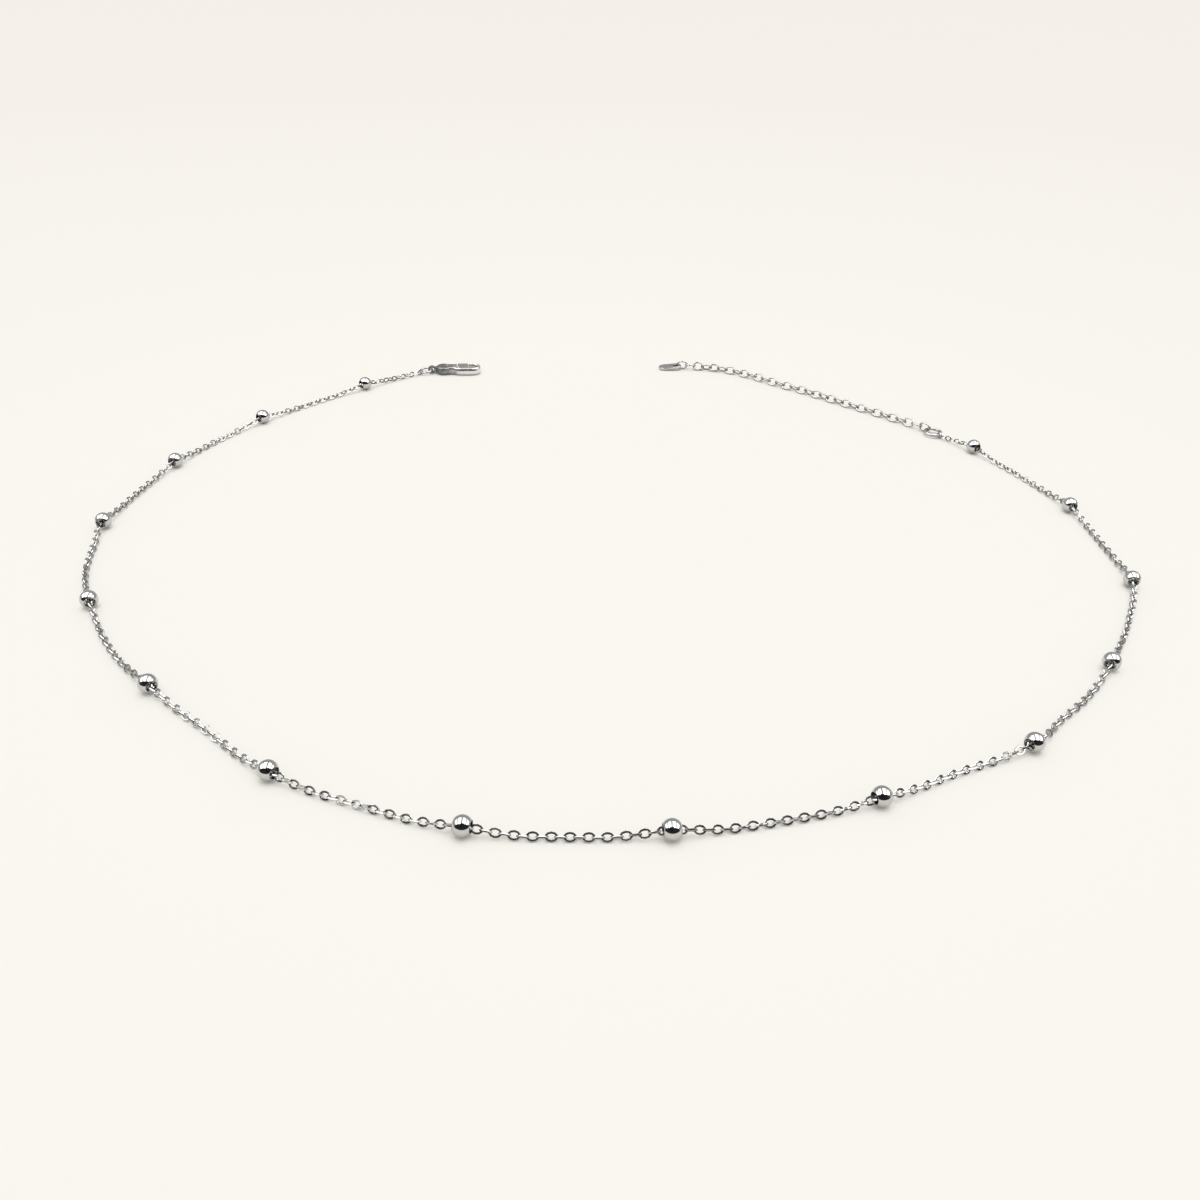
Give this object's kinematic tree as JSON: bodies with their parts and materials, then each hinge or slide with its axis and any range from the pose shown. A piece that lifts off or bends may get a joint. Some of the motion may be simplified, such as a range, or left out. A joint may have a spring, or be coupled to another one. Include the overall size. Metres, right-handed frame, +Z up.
{
  "type": "ball chain necklace",
  "caption": "Fine cable chain with spaced round polished beads, a lobster clasp, a coarser extension chain and a plain oval end tag, laid open.",
  "frame": {"origin": "on the surface that it lies on, at the middle of its bounding box", "axes": "+X to the right in the picture, from the clasp's side to the extension's side; +Y away from the camera, from the front beads to the clasp; +Z up"},
  "size_m": [0.188, 0.1718, 0.003],
  "materials": {
    "fine_chain": "polished silver colour, slightly darker between the links",
    "bead_metal": "mirror polished silver colour",
    "ring_metal": "polished silver colour",
    "clasp_metal": "polished cast metal, silver colour, with a soft grain",
    "extension_metal": "polished silver colour",
    "tag_metal": "polished silver colour, bare on both sides"
  },
  "bodies": {
    "necklace": {"chain": "fine_chain", "bead_01": "bead_metal", "bead_02": "bead_metal", "bead_03": "bead_metal", "bead_04": "bead_metal", "bead_05": "bead_metal", "bead_06": "bead_metal", "bead_07": "bead_metal", "bead_08": "bead_metal", "bead_09": "bead_metal", "bead_10": "bead_metal", "bead_11": "bead_metal", "bead_12": "bead_metal", "bead_13": "bead_metal", "bead_14": "bead_metal", "bead_15": "bead_metal", "clasp_ring": "ring_metal", "clasp_body": "clasp_metal", "clasp_pin": "clasp_metal", "joining_ring": "ring_metal", "extension_chain": "extension_metal", "end_tag": "tag_metal"},
    "lever": {"clasp_lever": "clasp_metal"}
  },
  "joints": [
    {"name": "lever_turn", "type": "hinge", "parent": "necklace", "child": "lever", "pos_m": [-0.04027, 0.07733, 0.00095], "axis": [0, 0, -1], "range_deg": [0, 25], "stiffness_Nm_per_rad": 0.002}
  ]
}
